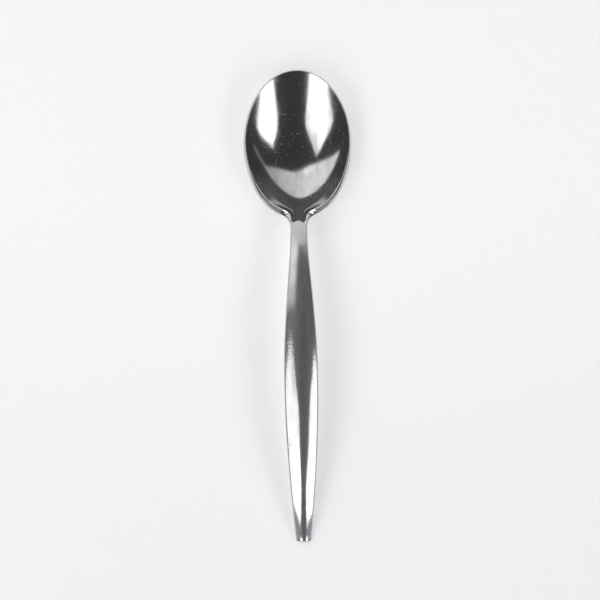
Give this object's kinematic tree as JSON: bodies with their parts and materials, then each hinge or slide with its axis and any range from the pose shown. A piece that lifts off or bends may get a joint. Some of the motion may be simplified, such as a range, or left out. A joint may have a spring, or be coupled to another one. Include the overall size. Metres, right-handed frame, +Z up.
{
  "type": "soup spoon",
  "caption": "Polished steel soup spoon with a deep oval bowl, a narrow neck and an arched, crowned handle that tapers to a blunt end.",
  "frame": {"origin": "middle of the spoon's box on the table that it lies on", "axes": "+Y along the spoon to the tip of the bowl, +Z up out of the bowl, +X to the right"},
  "size_m": [0.0446, 0.195, 0.021],
  "materials": {
    "steel": "polished, with fine wear"
  },
  "bodies": {
    "root": {"bowl": "steel", "handle": "steel"}
  },
  "joints": []
}
